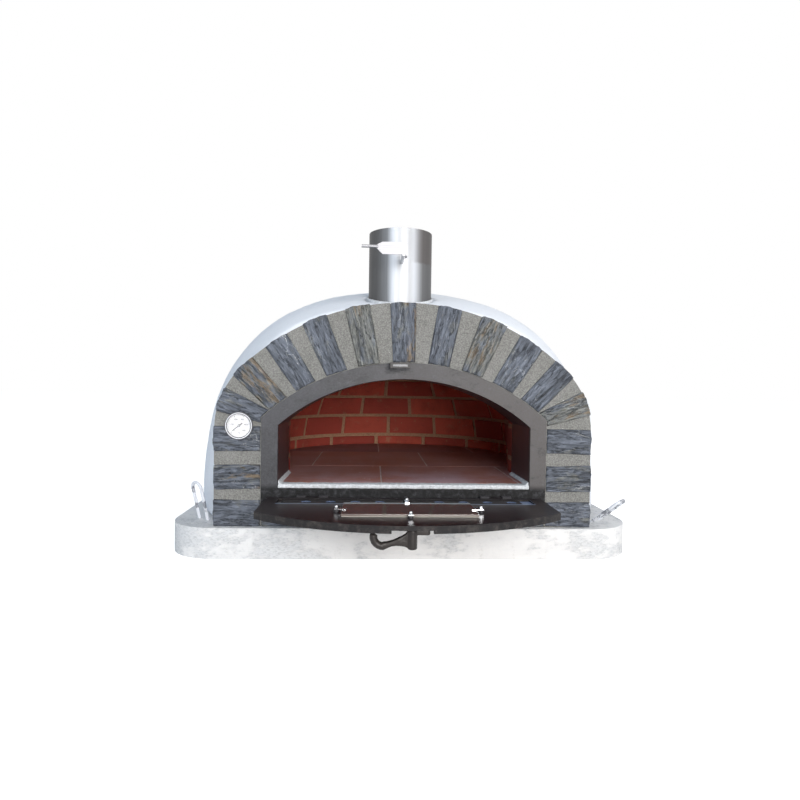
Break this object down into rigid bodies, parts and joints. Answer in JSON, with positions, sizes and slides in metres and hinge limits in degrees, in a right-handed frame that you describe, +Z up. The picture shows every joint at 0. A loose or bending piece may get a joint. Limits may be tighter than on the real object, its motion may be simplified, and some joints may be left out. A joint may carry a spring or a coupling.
{
  "type": "wood fired pizza oven",
  "caption": "Rendered brick dome oven on a cast slab, with an arched slate front, a drop-down door with a window and air slide, a damped flue and a dial thermometer.",
  "frame": {"origin": "middle of the slab's underside, on the surface that the oven stands on", "axes": "+Z up, +X to the right as seen from the front, -Y out of the mouth towards the cook"},
  "size_m": [1.1, 1.4338, 0.784],
  "materials": {
    "white_concrete": "painted, slightly rough cast concrete",
    "white_render": "trowelled white render",
    "white_mortar": "white fire mortar",
    "loop_steel": "bent steel rod, splashed with white paint",
    "insulating_board": "pressed ceramic fibre board",
    "insulating_blanket": "ceramic fibre blanket",
    "hearth_tile": "flat fired clay, matt",
    "red_brick": "pressed red fire brick",
    "fire_mortar": "brown fire mortar",
    "cast_refractory": "cast refractory",
    "sand_mortar": "sandy grey-beige mortar",
    "slate": "riven slate",
    "black_iron": "cast iron, stove black",
    "black_enamel": "gloss black enamel on steel",
    "bare_steel": "turned or drawn steel",
    "stainless": "brushed stainless steel",
    "chrome": "bright plated",
    "window_glass": "heat-resistant glass, smoked",
    "clear_glass": "clear dial glass",
    "gasket": "woven glass-fibre tape",
    "slider_iron": "black painted steel sheet",
    "dial_white": "white printed face",
    "black_paint": "black"
  },
  "bodies": {
    "oven": {"base_slab": "white_concrete", "lifting_loops": "loop_steel", "hearth_insulation": "insulating_board", "hearth_tiles": "hearth_tile", "hearth_edge_mortar": "white_mortar", "brick_course_1": "red_brick", "brick_course_2": "red_brick", "brick_course_3": "red_brick", "brick_course_4": "red_brick", "brick_course_5": "red_brick", "brick_course_6": "red_brick", "brick_course_7": "red_brick", "dome_crown": "red_brick", "dome_mortar": "fire_mortar", "mouth_vault": "cast_refractory", "dome_insulation": "insulating_blanket", "render_shell": "white_render", "front_wall": "sand_mortar", "key_stone": "slate", "arch_stones_left": "slate", "arch_stones_right": "slate", "leg_stones_left": "slate", "leg_stones_right": "slate", "sill_stones": "slate", "door_frame": "black_iron", "frame_reveal": "black_iron", "latch_keeper": "black_iron", "hinge_ears": "black_iron", "hinge_pins": "bare_steel", "chimney_pipe": "stainless", "chimney_seal": "white_mortar", "thermometer_case": "bare_steel", "thermometer_bezel": "chrome", "thermometer_dial": "dial_white", "needle_pin": "bare_steel", "thermometer_lens": "clear_glass", "thermometer_probe": "bare_steel"},
    "door": {"door_panel": "black_enamel", "door_glass": "window_glass", "glass_gasket": "gasket", "clip_spacers": "black_iron", "glass_clips": "chrome", "clip_nuts": "chrome", "handle_spindle": "bare_steel"},
    "air_slide": {"air_slider": "slider_iron", "slider_knob": "black_paint"},
    "handle": {"door_handle": "black_iron"},
    "damper": {"damper_plate": "stainless", "damper_shaft": "bare_steel", "damper_rivets": "bare_steel", "damper_handle": "stainless"},
    "needle": {"thermometer_needle": "black_paint"}
  },
  "joints": [
    {"name": "door_hinge", "type": "hinge", "parent": "oven", "child": "door", "pos_m": [0, -0.5668, 0.134], "axis": [-1, 0, 0], "range_deg": [0, 90]},
    {"name": "air_slide_travel", "type": "slide", "parent": "door", "child": "air_slide", "axis": [1, 0, 0], "range_m": [-0.008, 0.012]},
    {"name": "handle_turn", "type": "hinge", "parent": "door", "child": "handle", "pos_m": [0, -0.8488, 0.1156], "axis": [0, 0, -1], "range_deg": [0, 90]},
    {"name": "damper_turn", "type": "hinge", "parent": "oven", "child": "damper", "pos_m": [-0.01, -0.396, 0.7], "axis": [0, 1, 0], "range_deg": [0, 90]},
    {"name": "needle_turn", "type": "hinge", "parent": "oven", "child": "needle", "pos_m": [-0.38, -0.5628, 0.303], "axis": [0, 1, 0], "range_deg": [0, 270]}
  ]
}
